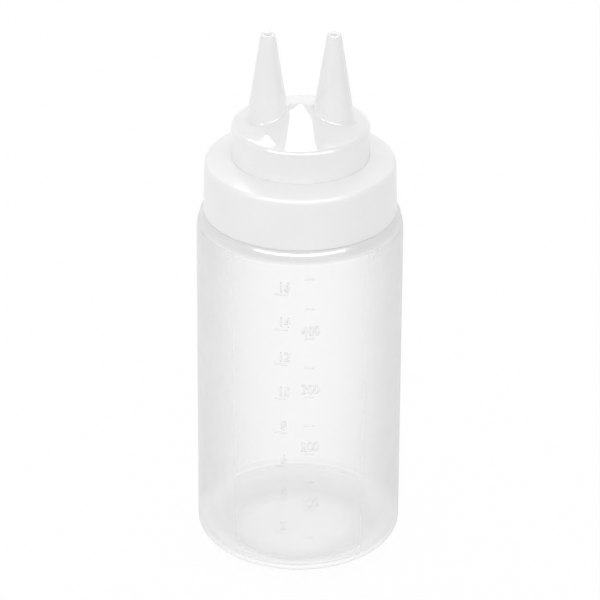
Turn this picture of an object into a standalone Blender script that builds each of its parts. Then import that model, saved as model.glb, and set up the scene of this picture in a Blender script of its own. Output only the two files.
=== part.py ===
"""Condiment squeeze bottle with two nozzles.

A wide-mouth bottle with a raised scale, and a cap of three pieces that screws onto its neck: a collar with a
thread, a nozzle head that the collar holds, and the gasket that seals the head on the neck's lip.
"""

import math

import bmesh
import bpy
from mathutils import Matrix

# Rounding of the turned pieces: flat sides around, and steps along a rounded edge
BODY_SIDES = 64
NOZZLE_SIDES = 32
CORNER_STEPS = 5
EDGE_STEPS = 3

# Clearances, the overrun of every cut and of every joint of two bodies, and the merging of equal points
SEAT_GAP = 0.0003
RUNNING_GAP = 0.0004
OVERRUN = 0.0006
MERGE_DISTANCE = 0.00001

# Bottle neck, which sets the widths of the body and of the cap
NECK_RADIUS = 0.0316
NECK_WALL = 0.0020
LIP_ROUND = 0.0005

# Bottle body: a rolled shoulder, a slightly tapered wall, and a shallow curved base with a tighter corner
LAND_WIDTH = 0.0033
SHOULDER_WIDTH = 0.0030
SHOULDER_HEIGHT = 0.0085
SHOULDER_START_Z = 0.1291
BODY_TAPER = 0.0003
BODY_WALL = 0.0017
CORNER_RADIUS = 0.0053
BASE_CURVE_RADIUS = 0.0202
FOOT_INSET = 0.0142
FOOT_RING_WIDTH = 0.0020
PUSH_UP_HEIGHT = 0.0030
PUSH_UP_SHARES = (0.92, 0.7, 0.4)

# Screw thread, right-handed, one start. Each ridge's root and crest widths are shares of the pitch
THREAD_PITCH = 0.00423
THREAD_DEPTH = 0.0014
THREAD_BELOW_LIP = 0.0022
THREAD_ABOVE_LAND = 0.0065
NECK_RIDGE_SHARES = (0.57, 0.285)
COLLAR_RIDGE_SHARES = (0.475, 0.235)
COLLAR_RIDGE_LEAD_TURNS = 0.4
RUN_OUT_TURNS = 0.08
RUN_OUT_SINK_SHARE = 0.3

# Scale on the bottle's front: a column in millilitres and a column in fluid ounces
SCALE_START_Z = 0.0069
ML_STEP_VOLUME = 50e-6
OZ_STEP_VOLUME = 59.147e-6
ML_MARK_X = 0.0038
ML_MARK_LENGTH = 0.0038
OZ_MARK_X = -0.0066
OZ_MARK_LENGTH = 0.0048
MARK_THICKNESS = 0.0005
MARK_RELIEF = 0.00025

# Gasket, and the nozzle head's flange, centring plug ring, upper cylinder and dome
GASKET_THICKNESS = 0.0010
FLANGE_EDGE_THICKNESS = 0.0012
PLUG_LENGTH = 0.0050
PLUG_WALL = 0.0014
PLUG_LEAD = 0.0006
HEAD_STEP = 0.0027
HEAD_WALL = 0.0015
HEAD_RISE = 0.0125
HEAD_EDGE_ROUND = 0.0016
DOME_RISE = 0.0073
DOME_SHARES = ((0.0, 1.0), (0.07, 0.965), (0.17, 0.855), (0.5, 0.51))

# Nozzles
NOZZLE_INSET = 0.01327
NOZZLE_HEIGHT = 0.0348
NOZZLE_BORE_RADIUS = 0.0016
NOZZLE_TIP_WALL = 0.0011
NOZZLE_SLOPE = 0.153
NOZZLE_WALL = 0.0013
NOZZLE_RIM_ROUND = 0.0005
NOZZLE_FOOT_DEPTH = 0.0006

# Screw collar, whose top falls a little from its hole to its rounded edge, and the ledge that holds the head
COLLAR_HEIGHT = 0.0212
COLLAR_WALL = 0.0015
COLLAR_DRAFT = 0.0005
COLLAR_PLATE_THICKNESS = 0.0018
COLLAR_CROWN_DROP = 0.0018
COLLAR_EDGE_WIDTH = 0.0012
COLLAR_EDGE_HEIGHT = 0.0025
COLLAR_FOOT_ROUND = 0.0005
LEDGE_CLEARANCE = 0.0002
SNAP_OVERLAP = 0.0005

# Colours (red, green, blue, alpha) and roughness of the four plastics
BOTTLE_LOOK = ((0.93, 0.93, 0.93, 0.75), 0.38)
COLLAR_LOOK = ((0.90, 0.90, 0.90, 1.0), 0.45)
HEAD_LOOK = ((0.91, 0.91, 0.91, 0.9), 0.22)
GASKET_LOOK = ((0.84, 0.84, 0.83, 1.0), 0.6)

# Radii of the bottle, from the neck outwards and down to the foot
NECK_INNER_RADIUS = NECK_RADIUS - NECK_WALL
ROLL_R = NECK_RADIUS + LAND_WIDTH
BODY_TOP_RADIUS = ROLL_R + SHOULDER_WIDTH
BODY_FOOT_RADIUS = BODY_TOP_RADIUS + BODY_TAPER
INNER_RADIUS = BODY_FOOT_RADIUS - BODY_TAPER / 2 - BODY_WALL
CORNER_R = BODY_FOOT_RADIUS - CORNER_RADIUS
FOOT_RADIUS = BODY_FOOT_RADIUS - FOOT_INSET

# Where the base's two arcs meet
CORNER_Z = BASE_CURVE_RADIUS - math.sqrt((BASE_CURVE_RADIUS - CORNER_RADIUS) ** 2 - (CORNER_R - FOOT_RADIUS) ** 2)
CORNER_ANGLE = math.degrees(math.atan2(CORNER_Z - BASE_CURVE_RADIUS, CORNER_R - FOOT_RADIUS))

# Radii in the cap
PLUG_RADIUS = NECK_INNER_RADIUS - RUNNING_GAP
PLUG_BORE_RADIUS = PLUG_RADIUS - PLUG_WALL
HEAD_RADIUS = PLUG_BORE_RADIUS - HEAD_STEP
LEDGE_RADIUS = NECK_RADIUS + LEDGE_CLEARANCE
FLANGE_RADIUS = LEDGE_RADIUS + SNAP_OVERLAP
GROOVE_RADIUS = FLANGE_RADIUS + RUNNING_GAP
GASKET_INNER_RADIUS = PLUG_RADIUS + SEAT_GAP
GASKET_OUTER_RADIUS = LEDGE_RADIUS - SEAT_GAP
COLLAR_INNER_RADIUS = NECK_RADIUS + THREAD_DEPTH + RUNNING_GAP
COLLAR_TOP_RADIUS = COLLAR_INNER_RADIUS + COLLAR_WALL
COLLAR_FOOT_RADIUS = COLLAR_TOP_RADIUS + COLLAR_DRAFT
COLLAR_HOLE_RADIUS = HEAD_RADIUS + SEAT_GAP
COLLAR_EDGE_R = COLLAR_TOP_RADIUS - COLLAR_EDGE_WIDTH
CROWN_SLOPE = COLLAR_CROWN_DROP / (COLLAR_EDGE_R - COLLAR_HOLE_RADIUS)
NOZZLE_OFFSET = HEAD_RADIUS - NOZZLE_INSET
NOZZLE_TIP_RADIUS = NOZZLE_BORE_RADIUS + NOZZLE_TIP_WALL

# Heights in the cap, above the neck's lip
GASKET_BOTTOM = SEAT_GAP
GASKET_TOP = GASKET_BOTTOM + GASKET_THICKNESS
FLANGE_BOTTOM = GASKET_TOP + SEAT_GAP
FLANGE_EDGE_TOP = FLANGE_BOTTOM + FLANGE_EDGE_THICKNESS
FLANGE_ROOT_TOP = FLANGE_EDGE_TOP + CROWN_SLOPE * (FLANGE_RADIUS - HEAD_RADIUS)
PLATE_BOTTOM = FLANGE_ROOT_TOP + SEAT_GAP
PLATE_TOP = PLATE_BOTTOM + COLLAR_PLATE_THICKNESS
COLLAR_BOTTOM = PLATE_TOP - COLLAR_HEIGHT
PLUG_BOTTOM = FLANGE_BOTTOM - PLUG_LENGTH
HEAD_EDGE = PLATE_TOP + HEAD_RISE
NOZZLE_TIP = HEAD_EDGE + NOZZLE_HEIGHT

# Heights of the neck, which ends the collar's foot just above the land, and the length of its thread
LAND_Z = SHOULDER_START_Z + SHOULDER_HEIGHT
NECK_HEIGHT = SEAT_GAP - COLLAR_BOTTOM
LIP_Z = LAND_Z + NECK_HEIGHT
THREAD_TURNS = (NECK_HEIGHT - THREAD_BELOW_LIP - THREAD_ABOVE_LAND) / THREAD_PITCH


def clear_scene():
    for obj in list(bpy.data.objects):
        bpy.data.objects.remove(obj, do_unlink=True)


def new_collection(name):
    collection = bpy.data.collections.new(name)
    bpy.context.scene.collection.children.link(collection)
    return collection


def plastic(name, look):
    colour, roughness = look
    material = bpy.data.materials.new(name)
    material.use_nodes = True
    shader = material.node_tree.nodes["Principled BSDF"]
    shader.inputs["Base Color"].default_value = colour[:3] + (1.0,)
    shader.inputs["Roughness"].default_value = roughness
    shader.inputs["Metallic"].default_value = 0.0
    shader.inputs["Alpha"].default_value = colour[3]
    return material


def add_object(name, shape, collection):
    """Makes an object from a bmesh, which it frees."""
    mesh = bpy.data.meshes.new(name)
    shape.to_mesh(mesh)
    shape.free()
    obj = bpy.data.objects.new(name, mesh)
    collection.objects.link(obj)
    return obj


def mark_cutter(obj):
    obj.hide_render = True
    obj.display_type = "WIRE"
    return obj


def arc(centre_r, centre_z, size_r, size_z, start, stop, steps):
    """Points of an ellipse's arc in a turned profile, with its angles in degrees from +r towards +z."""
    angles = [math.radians(start + (stop - start) * k / steps) for k in range(steps + 1)]
    return [(centre_r + size_r * math.cos(a), centre_z + size_z * math.sin(a)) for a in angles]


def turned(name, profile, collection, sides=BODY_SIDES, ring=False):
    """A turned solid. Its (radius, height) points run down the outer side, and a ring's profile is a closed loop."""
    shape = bmesh.new()
    points = [shape.verts.new((r, 0.0, z)) for r, z in profile]
    pairs = list(zip(points, points[1:]))
    if ring:
        pairs.append((points[-1], points[0]))
    for pair in pairs:
        shape.edges.new(pair)
    obj = add_object(name, shape, collection)
    screw = obj.modifiers.new("turn", "SCREW")
    screw.steps = sides
    screw.render_steps = sides
    screw.use_merge_vertices = True
    screw.merge_threshold = MERGE_DISTANCE
    screw.use_smooth_shade = True
    return obj


def combine(obj, operand, operation):
    modifier = obj.modifiers.new(operand.name, "BOOLEAN")
    modifier.operation = operation
    modifier.object = operand
    modifier.solver = "EXACT"


def ridge_section(root_radius, crest_radius, width_shares, angle, height):
    """The four corners of a thread ridge's section, at an angle around the axis."""
    root_width, crest_width = (THREAD_PITCH * share for share in width_shares)
    corners = (
        (root_radius, -root_width / 2),
        (crest_radius, -crest_width / 2),
        (crest_radius, crest_width / 2),
        (root_radius, root_width / 2),
    )
    return [(r * math.cos(angle), r * math.sin(angle), height + z) for r, z in corners]


def thread_ridge(name, wall_radius, depth, width_shares, start_z, lead_turns, collection):
    """A helical ridge on a wall, as a loft of sections that sink into the wall at both ends.

    A positive depth stands out of a neck's wall, and a negative one stands into a collar's.
    """
    sink = math.copysign(OVERRUN, depth)
    root_radius = wall_radius - sink
    end_radius = wall_radius - sink * RUN_OUT_SINK_SHARE
    count = round(THREAD_TURNS * BODY_SIDES)
    run_out_count = RUN_OUT_TURNS * BODY_SIDES
    shape = bmesh.new()
    sections = []
    for k in range(count + 1):
        turns = (k + 0.5) / BODY_SIDES - lead_turns
        rise = min(1.0, k / run_out_count, (count - k) / run_out_count)
        crest_radius = end_radius + (wall_radius + depth - end_radius) * rise
        height = start_z + THREAD_PITCH * turns
        corners = ridge_section(root_radius, crest_radius, width_shares, math.tau * turns, height)
        sections.append([shape.verts.new(corner) for corner in corners])
    for near, far in zip(sections, sections[1:]):
        for k in range(len(near)):
            shape.faces.new((near[k], near[k - 1], far[k - 1], far[k]))
    shape.faces.new(sections[0])
    shape.faces.new(reversed(sections[-1]))
    bmesh.ops.recalc_face_normals(shape, faces=shape.faces)
    return mark_cutter(add_object(name, shape, collection))


def body_radius_at(height):
    """The bottle's outer radius on its slightly tapered wall."""
    share = (height - CORNER_Z) / (SHOULDER_START_Z - CORNER_Z)
    return BODY_FOOT_RADIUS + (BODY_TOP_RADIUS - BODY_FOOT_RADIUS) * share


def add_marks(shape, step_volume, centre_x, length):
    """Raised bars of one column of the scale, each at the height that its volume fills, as far as the wall goes."""
    step = step_volume / (math.pi * INNER_RADIUS**2)
    count = math.floor((SHOULDER_START_Z - MARK_THICKNESS - SCALE_START_Z) / step)
    depth = MARK_RELIEF + OVERRUN
    for k in range(1, count + 1):
        height = SCALE_START_Z + k * step
        radius = body_radius_at(height)
        turn = Matrix.Rotation(math.asin(centre_x / radius), 4, "Z")
        place = Matrix.Translation((0.0, -(radius + MARK_RELIEF - depth / 2), height))
        size = Matrix.Diagonal((length, depth, MARK_THICKNESS, 1.0))
        bmesh.ops.create_cube(shape, size=1.0, matrix=turn @ place @ size)


def make_scale(collection):
    shape = bmesh.new()
    add_marks(shape, ML_STEP_VOLUME, ML_MARK_X, ML_MARK_LENGTH)
    add_marks(shape, OZ_STEP_VOLUME, OZ_MARK_X, OZ_MARK_LENGTH)
    return mark_cutter(add_object("scale_marks", shape, collection))


def base_corner(inset):
    """The bottle's base from its wall down to its foot, as two arcs that meet smoothly."""
    corner = CORNER_RADIUS - inset
    base = BASE_CURVE_RADIUS - inset
    wall_arc = arc(CORNER_R, CORNER_Z, corner, corner, 0, CORNER_ANGLE, CORNER_STEPS)
    base_arc = arc(FOOT_RADIUS, BASE_CURVE_RADIUS, base, base, CORNER_ANGLE, -90, CORNER_STEPS)
    return wall_arc + base_arc[1:]


def shoulder_roll(inset, steps):
    """The bottle's shoulder from its land down to its wall."""
    return arc(ROLL_R, SHOULDER_START_Z, SHOULDER_WIDTH - inset, SHOULDER_HEIGHT - inset, 90, 0, steps)


def bottle_profile():
    """The bottle's section from the middle of its floor, up the inside, over the lip and down the outside."""
    ring_r = FOOT_RADIUS - FOOT_RING_WIDTH
    push_up = [(ring_r * share, PUSH_UP_HEIGHT * (1 - share**2)) for share in PUSH_UP_SHARES]
    floor = [(r, z + BODY_WALL) for r, z in reversed(push_up)]
    inside = [
        (0.0, PUSH_UP_HEIGHT + BODY_WALL),
        *floor,
        *reversed(base_corner(BODY_WALL)),
        *reversed(shoulder_roll(BODY_WALL, EDGE_STEPS)),
        (NECK_INNER_RADIUS, LAND_Z - BODY_WALL),
        (NECK_INNER_RADIUS, LIP_Z - LIP_ROUND),
        (NECK_INNER_RADIUS + LIP_ROUND, LIP_Z),
    ]
    outside = [
        (NECK_RADIUS - LIP_ROUND, LIP_Z),
        (NECK_RADIUS, LIP_Z - LIP_ROUND),
        (NECK_RADIUS, LAND_Z),
        *shoulder_roll(0.0, CORNER_STEPS),
        *base_corner(0.0),
        (ring_r, 0.0),
        *push_up,
        (0.0, PUSH_UP_HEIGHT),
    ]
    return inside + outside


def make_bottle(parts, cutters):
    bottle = turned("bottle", bottle_profile(), parts)
    bottle.data.materials.append(plastic("milky_bottle_plastic", BOTTLE_LOOK))
    start_z = LIP_Z - THREAD_BELOW_LIP - THREAD_PITCH * THREAD_TURNS
    ridge = thread_ridge("neck_thread", NECK_RADIUS, THREAD_DEPTH, NECK_RIDGE_SHARES, start_z, 0.0, cutters)
    combine(bottle, ridge, "UNION")
    combine(bottle, make_scale(cutters), "UNION")
    return bottle


def collar_profile():
    """The collar's section as a loop: plate, skirt, then the ledge and groove that hold the head's flange."""
    edge_z = PLATE_TOP - COLLAR_CROWN_DROP - COLLAR_EDGE_HEIGHT
    ledge_top = FLANGE_BOTTOM - SEAT_GAP
    groove_top = PLATE_BOTTOM - CROWN_SLOPE * (GROOVE_RADIUS - COLLAR_HOLE_RADIUS)
    return [
        (COLLAR_HOLE_RADIUS, PLATE_TOP),
        *arc(COLLAR_EDGE_R, edge_z, COLLAR_EDGE_WIDTH, COLLAR_EDGE_HEIGHT, 90, 0, CORNER_STEPS),
        (COLLAR_FOOT_RADIUS, COLLAR_BOTTOM + COLLAR_FOOT_ROUND),
        (COLLAR_FOOT_RADIUS - COLLAR_FOOT_ROUND, COLLAR_BOTTOM),
        (COLLAR_INNER_RADIUS + COLLAR_FOOT_ROUND, COLLAR_BOTTOM),
        (COLLAR_INNER_RADIUS, COLLAR_BOTTOM + COLLAR_FOOT_ROUND),
        (COLLAR_INNER_RADIUS, GASKET_BOTTOM - (COLLAR_INNER_RADIUS - LEDGE_RADIUS)),
        (LEDGE_RADIUS, GASKET_BOTTOM),
        (LEDGE_RADIUS, ledge_top),
        (GROOVE_RADIUS, ledge_top),
        (GROOVE_RADIUS, groove_top),
        (COLLAR_HOLE_RADIUS, PLATE_BOTTOM),
    ]


def seated_ridge_drop():
    """How far the collar's ridge lies below the neck's ridge when their flanks meet, with the seat's gap."""
    neck_root, neck_crest = (THREAD_PITCH * share for share in NECK_RIDGE_SHARES)
    collar_crest = THREAD_PITCH * COLLAR_RIDGE_SHARES[1]
    neck_flare = (neck_root - neck_crest) * (THREAD_DEPTH - RUNNING_GAP) / THREAD_DEPTH
    return (neck_crest + neck_flare + collar_crest) / 2 + SEAT_GAP


def make_collar(parts, cutters):
    collar = turned("screw_collar", collar_profile(), parts, ring=True)
    collar.data.materials.append(plastic("milky_collar_plastic", COLLAR_LOOK))
    collar.location.z = LIP_Z
    start_z = -THREAD_BELOW_LIP - THREAD_PITCH * THREAD_TURNS - seated_ridge_drop()
    ridge = thread_ridge(
        "collar_thread",
        COLLAR_INNER_RADIUS,
        -THREAD_DEPTH,
        COLLAR_RIDGE_SHARES,
        start_z,
        COLLAR_RIDGE_LEAD_TURNS,
        cutters,
    )
    ridge.location.z = LIP_Z
    combine(collar, ridge, "UNION")
    return collar


def dome_points(radius, foot_z):
    """The dome's section from its top down to its foot, as a cone with a rounded middle."""
    return [(radius * share_r, foot_z + DOME_RISE * share_z) for share_r, share_z in DOME_SHARES]


def head_profile():
    """The head's outer section, filled: dome, upper cylinder, flange and centring plug ring."""
    edge_r = HEAD_RADIUS - HEAD_EDGE_ROUND
    edge_z = HEAD_EDGE - HEAD_EDGE_ROUND
    return [
        *dome_points(edge_r, HEAD_EDGE),
        *arc(edge_r, edge_z, HEAD_EDGE_ROUND, HEAD_EDGE_ROUND, 90, 0, EDGE_STEPS),
        (HEAD_RADIUS, FLANGE_ROOT_TOP),
        (FLANGE_RADIUS, FLANGE_EDGE_TOP),
        (FLANGE_RADIUS, FLANGE_BOTTOM),
        (PLUG_RADIUS, FLANGE_BOTTOM),
        (PLUG_RADIUS, PLUG_BOTTOM + PLUG_LEAD),
        (PLUG_RADIUS - PLUG_LEAD, PLUG_BOTTOM),
        (0.0, PLUG_BOTTOM),
    ]


def head_hollow_profile():
    """The head's inside, which widens under the flange to the bore of the plug ring."""
    inner_r = HEAD_RADIUS - HEAD_WALL
    top_z = HEAD_EDGE - HEAD_WALL
    return [
        *dome_points(inner_r - HEAD_EDGE_ROUND, top_z),
        (inner_r - HEAD_EDGE_ROUND, top_z),
        (inner_r, top_z - HEAD_EDGE_ROUND),
        (inner_r, FLANGE_BOTTOM),
        (PLUG_BORE_RADIUS, FLANGE_BOTTOM),
        (PLUG_BORE_RADIUS, PLUG_BOTTOM - OVERRUN),
        (0.0, PLUG_BOTTOM - OVERRUN),
    ]


def nozzle_profile():
    """One nozzle's outer cone, from its rounded tip down into the dome."""
    foot_z = HEAD_EDGE - NOZZLE_FOOT_DEPTH
    foot_radius = NOZZLE_TIP_RADIUS + NOZZLE_SLOPE * (NOZZLE_TIP - foot_z)
    rim_r = NOZZLE_TIP_RADIUS - NOZZLE_RIM_ROUND
    rim_z = NOZZLE_TIP - NOZZLE_RIM_ROUND
    return [
        (0.0, NOZZLE_TIP),
        *arc(rim_r, rim_z, NOZZLE_RIM_ROUND, NOZZLE_RIM_ROUND, 90, 0, EDGE_STEPS),
        (foot_radius, foot_z),
        (0.0, foot_z),
    ]


def bore_profile():
    """One nozzle's inner cone, from past its tip down into the head's hollow."""
    foot_z = HEAD_EDGE - HEAD_WALL - NOZZLE_FOOT_DEPTH
    outer_radius = NOZZLE_TIP_RADIUS + NOZZLE_SLOPE * (NOZZLE_TIP - foot_z)
    return [
        (0.0, NOZZLE_TIP + OVERRUN),
        (NOZZLE_BORE_RADIUS, NOZZLE_TIP + OVERRUN),
        (NOZZLE_BORE_RADIUS, NOZZLE_TIP - NOZZLE_RIM_ROUND),
        (outer_radius - NOZZLE_WALL, foot_z),
        (0.0, foot_z),
    ]


def make_head(parts, cutters):
    head = turned("nozzle_head", head_profile(), parts)
    head.data.materials.append(plastic("glossy_head_plastic", HEAD_LOOK))
    head.location.z = LIP_Z
    sides = (("left", -NOZZLE_OFFSET), ("right", NOZZLE_OFFSET))
    for side, x in sides:
        cone = mark_cutter(turned(f"nozzle_cone_{side}", nozzle_profile(), cutters, sides=NOZZLE_SIDES))
        cone.location = (x, 0.0, LIP_Z)
        combine(head, cone, "UNION")
    hollow = mark_cutter(turned("head_hollow", head_hollow_profile(), cutters))
    hollow.location.z = LIP_Z
    combine(head, hollow, "DIFFERENCE")
    for side, x in sides:
        bore = mark_cutter(turned(f"nozzle_bore_{side}", bore_profile(), cutters, sides=NOZZLE_SIDES))
        bore.location = (x, 0.0, LIP_Z)
        # Half a side's turn keeps the bore's corners off the tip's own edges.
        bore.rotation_euler.z = math.pi / NOZZLE_SIDES
        combine(head, bore, "DIFFERENCE")
    return head


def make_gasket(parts):
    profile = [
        (GASKET_INNER_RADIUS, GASKET_TOP),
        (GASKET_OUTER_RADIUS, GASKET_TOP),
        (GASKET_OUTER_RADIUS, GASKET_BOTTOM),
        (GASKET_INNER_RADIUS, GASKET_BOTTOM),
    ]
    gasket = turned("neck_gasket", profile, parts, ring=True)
    gasket.data.materials.append(plastic("gasket_rubber", GASKET_LOOK))
    gasket.location.z = LIP_Z
    return gasket


def parent_in_place(child, parent):
    """Parents an object and leaves it where it stands."""
    bpy.context.view_layer.update()
    child.parent = parent
    child.matrix_parent_inverse = parent.matrix_world.inverted()


def main():
    clear_scene()
    parts = new_collection("condiment_squeeze_bottle")
    cutters = new_collection("cutters")
    cutters.hide_render = True
    bottle = make_bottle(parts, cutters)
    head = make_head(parts, cutters)
    parent_in_place(head, bottle)
    parent_in_place(make_gasket(parts), head)
    parent_in_place(make_collar(parts, cutters), head)


main()
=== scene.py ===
"""The looks of the condiment squeeze bottle: fine shells over the solids, the raised scale and the studio."""

import math

import bmesh
import bpy
from mathutils import Matrix, Vector
from mathutils.geometry import delaunay_2d_cdt

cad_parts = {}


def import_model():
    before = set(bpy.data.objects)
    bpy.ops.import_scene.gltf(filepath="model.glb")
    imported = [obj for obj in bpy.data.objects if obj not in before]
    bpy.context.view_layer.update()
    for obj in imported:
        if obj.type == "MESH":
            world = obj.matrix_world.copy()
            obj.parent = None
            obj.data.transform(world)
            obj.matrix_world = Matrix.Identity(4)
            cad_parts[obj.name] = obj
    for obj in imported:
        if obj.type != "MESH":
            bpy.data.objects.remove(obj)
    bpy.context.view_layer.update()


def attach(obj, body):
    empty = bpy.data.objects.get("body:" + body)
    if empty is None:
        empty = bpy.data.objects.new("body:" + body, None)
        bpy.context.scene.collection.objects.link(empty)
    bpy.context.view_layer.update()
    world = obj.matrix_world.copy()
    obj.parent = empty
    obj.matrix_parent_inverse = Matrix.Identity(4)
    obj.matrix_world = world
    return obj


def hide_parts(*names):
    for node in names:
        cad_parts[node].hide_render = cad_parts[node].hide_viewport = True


# How finely the shells are divided, around and along their rounded edges, and the angle of a sharp edge
SHELL_SIDES = 192
NOZZLE_SIDES = 96
ROLL_STEPS = 24
ROUND_STEPS = 6
SHARP_ANGLE = 40

# Neck and thread
NECK_RADIUS = 0.0316
NECK_INNER_RADIUS = 0.0296
LIP_ROUND = 0.0006
NECK_FOOT_ROUND = 0.0008
THREAD_PITCH = 0.00423
THREAD_DEPTH = 0.0014
THREAD_SINK = 0.0006
THREAD_TURNS = 1.4985
THREAD_BELOW_LIP = 0.0022
THREAD_RING_STEP = 0.00018
NECK_RIDGE_WIDTHS = (0.00241, 0.00121)
COLLAR_RIDGE_WIDTHS = (0.00201, 0.00099)
COLLAR_RIDGE_LEAD_TURNS = 0.4
COLLAR_RIDGE_DROP = 0.00183
RUN_OUT_TURNS = 0.08

# Bottle body
LAND_Z = 0.1376
LIP_Z = 0.152639
ROLL_R = 0.0349
SHOULDER_START_Z = 0.1291
SHOULDER_WIDTH = 0.0030
SHOULDER_HEIGHT = 0.0085
SHOULDER_CREASE_Z = 0.13285
SHOULDER_CREASE_STEP = 0.00012
SHOULDER_CREASE_BLEND = 0.0005
SHOULDER_CREASE_REACH = 0.004
BODY_FOOT_RADIUS = 0.0382
BODY_TOP_RADIUS = 0.0379
BODY_WALL = 0.0017
CORNER_R = 0.0329
CORNER_Z = 0.00825
CORNER_RADIUS = 0.0053
CORNER_ANGLE = -53.32
BASE_CURVE_R = 0.0240
BASE_CURVE_RADIUS = 0.0202
FOOT_RING_R = 0.0220
PUSH_UP_HEIGHT = 0.0030

# Scale on the front: bars and numbers raised from the wall
SCALE_START_Z = 0.0069
ML_STEP = 0.012045
OZ_STEP = 0.014249
ML_BAR = (0.0038, 0.0038)
OZ_BAR = (-0.0066, 0.0048)
ML_NUMBERS = {2: "100", 4: "200", 6: "300", 8: "400"}
OZ_NUMBERS = {k: str(2 * k) for k in range(1, 9)}
ML_NUMBER_X = 0.0041
OZ_NUMBER_X = -0.0056
NUMBER_SIZE = 0.0052
NUMBER_RISE = 0.0012
NUMBER_NARROWING = 0.92
NUMBER_SPACING = 0.95
NUMBER_BEVEL = 0.00009
NUMBER_BACK = -0.9
BAR_THICKNESS = 0.0006
BAR_POINTS = 9
MARK_RELIEF = 0.00017
MARK_SINK = 0.0003
# A bar's rounded edge: how far in from its side, and the share of its relief reached there
BAR_EDGE = ((0.0, 0.4), (0.00005, 0.75), (0.00014, 0.95), (0.00024, 1.0))

# Cap: collar, gasket and nozzle head, with heights above the neck's lip
COLLAR_HOLE_RADIUS = 0.02511
COLLAR_TOP_RADIUS = 0.0349
COLLAR_FOOT_RADIUS = 0.0354
COLLAR_INNER_RADIUS = 0.0334
COLLAR_EDGE_WIDTH = 0.0012
COLLAR_EDGE_HEIGHT = 0.0025
COLLAR_CROWN_DROP = 0.0018
COLLAR_CROWN_SLOPE = 0.216867
COLLAR_FOOT_ROUND = 0.0002
COLLAR_HOLE_BEVEL = 0.0001
PLATE_RING_STEP = 0.002
PLATE_TOP = 0.0064614
PLATE_BOTTOM = 0.0046614
COLLAR_BOTTOM = -0.0150086
LEDGE_RADIUS = 0.0318
GROOVE_RADIUS = 0.0327
LEDGE_TOP = 0.0013
GASKET_BOTTOM = 0.0003
GASKET_TOP = 0.0013
GASKET_INNER_RADIUS = 0.0295
GASKET_OUTER_RADIUS = 0.0315
GASKET_ROUND = 0.0003
FLANGE_RADIUS = 0.0323
FLANGE_BOTTOM = 0.0016
FLANGE_EDGE_TOP = 0.0028
FLANGE_ROOT_TOP = 0.0043614
PLUG_RADIUS = 0.0292
PLUG_BORE_RADIUS = 0.0278
PLUG_BOTTOM = -0.0034
PLUG_LEAD = 0.0006
HEAD_RADIUS = 0.0251
HEAD_WALL = 0.0015
HEAD_EDGE = 0.0189614
HEAD_EDGE_ROUND = 0.0016
HEAD_BEVEL = 0.0003
DOME_RISE = 0.0073
DOME_SLOPE = 0.32
DOME_CROWN = 0.00022

# Nozzles, with their tips' height above the neck's lip
NOZZLE_OFFSET = 0.01183
NOZZLE_TIP = 0.053761
NOZZLE_SLOPE = 0.153
NOZZLE_TIP_RADIUS = 0.0027
NOZZLE_BORE_RADIUS = 0.0016
NOZZLE_BORE_SLOPE = 0.1496
NOZZLE_RIM_ROUND = 0.0005
NOZZLE_BORE_ROUND = 0.0002
NOZZLE_FILLET = 0.0014
FOOT_GROOVE_DEPTH = 0.00012
FOOT_GROOVE_OUT = 0.00045
FOOT_GROOVE_WIDTH = 0.00025
NOZZLE_CONE_RINGS = 8
# Where the rings round a nozzle's foot lie, in millimetres from it
FILLET_OFFSETS = (-0.8, -0.6, -0.45, -0.3, -0.15, 0.0, 0.1, 0.2, 0.3, 0.4, 0.5, 0.6, 0.7, 0.85, 1.1, 1.5)
FOOT_SEARCH_STEPS = 20
MERGE_DISTANCE = 0.000003
DOME_RING_STEP = 0.0007
DOME_KEEP_OFF = 0.0096
# Painted glow in the bores, by emission, in place of the light that comes through the thin tips: its
# strength, how far below the tip it starts and is full, and how near the wall it ends
TIP_GLOW = 0.18
TIP_GLOW_DEPTHS = (0.0120, 0.0005)
TIP_GLOW_OFF_BORE = (0.00025, 0.00005)

# How much each finish covers, seen head-on and at a slant, and in the thick shoulder
BOTTLE_COVER = (0.0975, 1.0, 0.85)
MARK_COVER = (0.03, 0.7, 0.85)
COVER_FACINGS = (0.03, 1.0)
SHOULDER_BLEND = 0.0006

# Milk in the thick base: least and most, on a ring round the foot, and its share where it is seen at a slant
BASE_MILK = (0.31, 0.56)
BASE_MILK_R = 0.0270
BASE_MILK_WIDTH = 0.0115
BASE_MILK_SLOPES = (0.0, 0.7)
BASE_MILK_SLANTED = 0.15
BASE_MILK_FACINGS = (0.50, 0.64)
BASE_TOP = (0.0130, 0.0070)
RIM_STARTS = (0.0010, 0.0030)
OVER_UNDERSIDE = (0.0006, 0.0011)

# Haze and gloss inside the wall: which faces look up or down, and what is left of each there
UP_FACES = (0.0, 0.3)
DOWN_FACES = (-0.05, -0.35)
WALL_MIDDLE_R = 0.0372
WALL_MIDDLE_BLEND = 0.0001
INNER_WALL_BLEND = 0.0020
FLOOR_HAZE = 0.04
INNER_HAZE = 0.08
CORNER_HAZE = (0.12, 1.00)
CORNER_FACINGS = (0.45, 1.0)
FLOOR_COAT_SHARE = 0.15

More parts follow.
